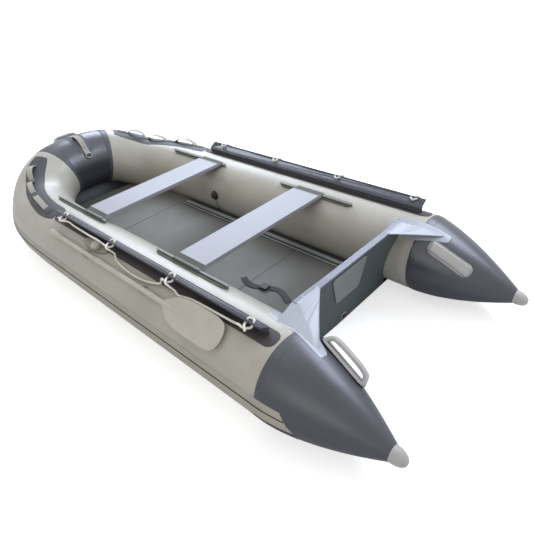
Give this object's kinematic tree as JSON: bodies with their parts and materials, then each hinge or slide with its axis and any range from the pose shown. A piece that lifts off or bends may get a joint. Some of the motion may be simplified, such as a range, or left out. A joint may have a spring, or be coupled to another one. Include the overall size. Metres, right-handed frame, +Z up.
{
  "type": "inflatable dinghy",
  "caption": "Inflatable dinghy with a horseshoe of air tubes, stern cones, transom board, plank floor, bench seats, lifelines on rails and stowed oars.",
  "frame": {"origin": "centre of the bounding box in plan, on the ground under the tubes", "axes": "+X forward to the bow, +Y to port, +Z up"},
  "size_m": [3.4268, 1.5632, 0.5616],
  "materials": {
    "hull_fabric": "satin coated fabric",
    "slate_fabric": "satin coated fabric",
    "slate_rubber": "matte",
    "strake_rubber": "satin",
    "track_rubber": "matte",
    "rail_plastic": "satin",
    "light_trim": "satin",
    "dark_plastic": "satin",
    "grey_plastic": "satin",
    "handle_plastic": "satin",
    "plate_plastic": "satin",
    "gusset_fabric": "coated fabric",
    "webbing": "woven",
    "light_webbing": "woven",
    "bench_metal": "anodised",
    "floor_metal": "anodised",
    "cap_metal": "anodised",
    "transom_ply": "painted plywood",
    "rope": "braided",
    "oar_plastic": "satin",
    "ring_steel": "polished"
  },
  "bodies": {
    "hull": {"bow_tube": "slate_fabric", "rub_strake": "strake_rubber", "hull_bottom": "slate_fabric", "keel_tube": "slate_fabric", "bow_floor_panel": "floor_metal", "front_floor_panel": "floor_metal", "middle_floor_panel": "floor_metal", "rear_floor_panel": "floor_metal", "transom_board": "transom_ply", "transom_cap": "cap_metal", "motor_plate": "plate_plastic", "drain_body": "light_trim", "bow_carry_strap": "light_webbing", "bow_handle": "handle_plastic", "floor_strap": "webbing", "strap_buckle": "dark_plastic", "port_side_tube": "hull_fabric", "port_stern_cone": "slate_fabric", "port_cone_cap": "light_trim", "port_bow_baffle": "hull_fabric", "port_floor_stringer": "floor_metal", "port_gusset": "gusset_fabric", "port_front_seat_track": "track_rubber", "port_rear_seat_track": "track_rubber", "port_lifeline_rail": "rail_plastic", "port_lifeline": "rope", "port_grab_patch": "slate_rubber", "port_stern_handle": "handle_plastic", "port_valve_body": "dark_plastic", "port_rowlock_base": "grey_plastic", "port_front_oar_clip": "grey_plastic", "port_rear_oar_clip": "grey_plastic", "starboard_side_tube": "hull_fabric", "starboard_stern_cone": "slate_fabric", "starboard_cone_cap": "light_trim", "starboard_bow_baffle": "hull_fabric", "starboard_floor_stringer": "floor_metal", "starboard_gusset": "gusset_fabric", "starboard_front_seat_track": "track_rubber", "starboard_rear_seat_track": "track_rubber", "starboard_lifeline_rail": "rail_plastic", "starboard_lifeline": "rope", "starboard_grab_patch": "slate_rubber", "starboard_stern_handle": "handle_plastic", "starboard_valve_body": "dark_plastic", "starboard_rowlock_base": "grey_plastic", "starboard_front_oar_clip": "grey_plastic", "starboard_rear_oar_clip": "grey_plastic"},
    "front_bench": {"front_seat": "bench_metal"},
    "rear_bench": {"rear_seat": "bench_metal"},
    "port_oar": {"port_oar_shaft": "oar_plastic", "port_oar_blade": "oar_plastic"},
    "starboard_oar": {"starboard_oar_shaft": "oar_plastic", "starboard_oar_blade": "oar_plastic"},
    "port_knob": {"port_rowlock_knob": "grey_plastic"},
    "starboard_knob": {"starboard_rowlock_knob": "grey_plastic"},
    "port_valve_lid": {"port_valve_cap": "dark_plastic"},
    "starboard_valve_lid": {"starboard_valve_cap": "dark_plastic"},
    "plug": {"drain_plug": "dark_plastic"},
    "ring": {"bow_d_ring": "ring_steel"}
  },
  "joints": [
    {"name": "front_bench_slide", "type": "slide", "parent": "hull", "child": "front_bench", "axis": [1, 0, 0], "range_m": [-0.033, 0.338]},
    {"name": "rear_bench_slide", "type": "slide", "parent": "hull", "child": "rear_bench", "axis": [1, 0, 0], "range_m": [-0.201, 0.139]},
    {"name": "port_oar_lift", "type": "slide", "parent": "hull", "child": "port_oar", "axis": [0, 0.6347, 0.7727], "range_m": [0, 0.25]},
    {"name": "starboard_oar_lift", "type": "slide", "parent": "hull", "child": "starboard_oar", "axis": [0, -0.6347, 0.7727], "range_m": [0, 0.25]},
    {"name": "port_knob_turn", "type": "hinge", "parent": "hull", "child": "port_knob", "pos_m": [0.08455, 0.65388, 0.41716], "axis": [0, 0.3987, 0.9171], "continuous": true},
    {"name": "starboard_knob_turn", "type": "hinge", "parent": "hull", "child": "starboard_knob", "pos_m": [0.08455, -0.65388, 0.41716], "axis": [0, -0.3987, 0.9171], "continuous": true},
    {"name": "port_valve_turn", "type": "hinge", "parent": "hull", "child": "port_valve_lid", "pos_m": [0.31755, 0.34625, 0.23133], "axis": [0, -0.9952, 0.0976], "continuous": true},
    {"name": "starboard_valve_turn", "type": "hinge", "parent": "hull", "child": "starboard_valve_lid", "pos_m": [0.31755, -0.34625, 0.23133], "axis": [0, 0.9952, 0.0976], "continuous": true},
    {"name": "drain_plug_pull", "type": "slide", "parent": "hull", "child": "plug", "axis": [-0.9781, 0, -0.2079], "range_m": [0, 0.035]},
    {"name": "bow_ring_swing", "type": "hinge", "parent": "hull", "child": "ring", "pos_m": [1.3202, 0, 0.45372], "axis": [0, 1, 0], "range_deg": [0, 115]}
  ]
}
